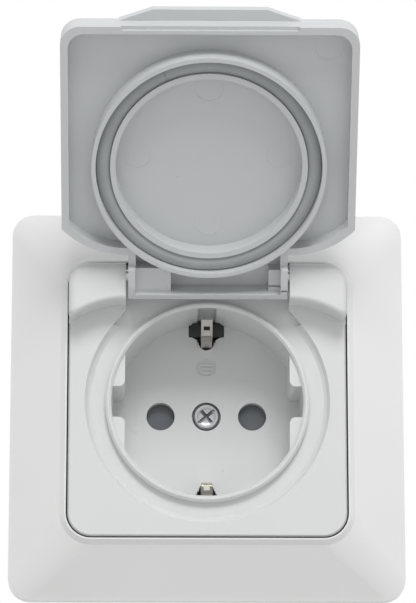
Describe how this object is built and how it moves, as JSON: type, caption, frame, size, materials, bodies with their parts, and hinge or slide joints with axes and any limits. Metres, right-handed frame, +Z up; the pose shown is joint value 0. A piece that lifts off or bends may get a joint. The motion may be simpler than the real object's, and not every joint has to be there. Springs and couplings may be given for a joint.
{
  "type": "outdoor wall socket",
  "caption": "Square flush wall socket for outdoors with a sloped surround, a round earthed well and a sprung hinged lid that stands open above it.",
  "frame": {"origin": "centre of the round well's axis on the face of the wall, which is also the centre of the box screw slots", "axes": "+X to the right, +Y into the wall, +Z up, seen as the socket hangs on the wall"},
  "size_m": [0.0804, 0.0822, 0.1117],
  "materials": {
    "frame_plastic": "smooth, slightly glossy white",
    "insert_plastic": "smooth, slightly glossy white",
    "lid_plastic": "smooth, slightly glossy white",
    "grey_rubber": "matt grey soft seal",
    "black_rubber": "matt black",
    "foam": "matt closed-cell foam",
    "spring_steel": "drawn wire",
    "pin_steel": "ground pin",
    "zinc_screw": "bright zinc plated",
    "plated_strip": "nickel plated strip",
    "contact_brass": "stamped strip",
    "terminal_brass": "machined",
    "base_plastic": "matt light grey",
    "cover_plastic": "matt grey",
    "rivet_steel": "zinc plated",
    "shutter_plastic": "matt dark grey",
    "zinc_steel": "zinc plated sheet"
  },
  "bodies": {
    "housing": {"cover_frame": "frame_plastic", "wall_gasket": "foam", "insert_gasket": "black_rubber", "socket_insert": "insert_plastic", "hinge_pin_left": "pin_steel", "hinge_pin_right": "pin_steel", "centre_screw": "zinc_screw", "earth_strip": "plated_strip", "contact_left": "contact_brass", "contact_right": "contact_brass", "terminal_left": "terminal_brass", "terminal_right": "terminal_brass", "terminal_earth": "terminal_brass", "terminal_screws": "zinc_screw", "socket_base": "base_plastic", "rear_cover": "base_plastic", "rear_rivets": "rivet_steel", "contact_cover": "cover_plastic", "shutter_spring": "spring_steel", "support_plate": "zinc_steel", "base_rivets": "rivet_steel", "claw_screw_right": "zinc_screw", "claw_screw_left": "zinc_screw"},
    "lid": {"hinged_lid": "lid_plastic", "lid_seal": "grey_rubber", "lid_spring": "spring_steel"},
    "shutter_body": {"shutter": "shutter_plastic"},
    "claw_left_body": {"claw_left": "zinc_steel"},
    "claw_right_body": {"claw_right": "zinc_steel"}
  },
  "joints": [
    {"name": "lid_hinge", "type": "hinge", "parent": "housing", "child": "lid", "pos_m": [0, -0.0135, 0.0251], "axis": [1, 0, 0], "range_deg": [0, 142.5]},
    {"name": "shutter_turn", "type": "hinge", "parent": "housing", "child": "shutter_body", "pos_m": [0, 0.0088, 0], "axis": [0, 1, 0], "range_deg": [0, 40], "stiffness_Nm_per_rad": 0.002},
    {"name": "claw_left_spread", "type": "hinge", "parent": "housing", "child": "claw_left_body", "pos_m": [-0.0239, 0.0036, -0.009], "axis": [0, 0, 1], "range_deg": [0, 20]},
    {"name": "claw_right_spread", "type": "hinge", "parent": "housing", "child": "claw_right_body", "pos_m": [0.0239, 0.0036, 0.009], "axis": [0, 0, -1], "range_deg": [0, 20]}
  ]
}
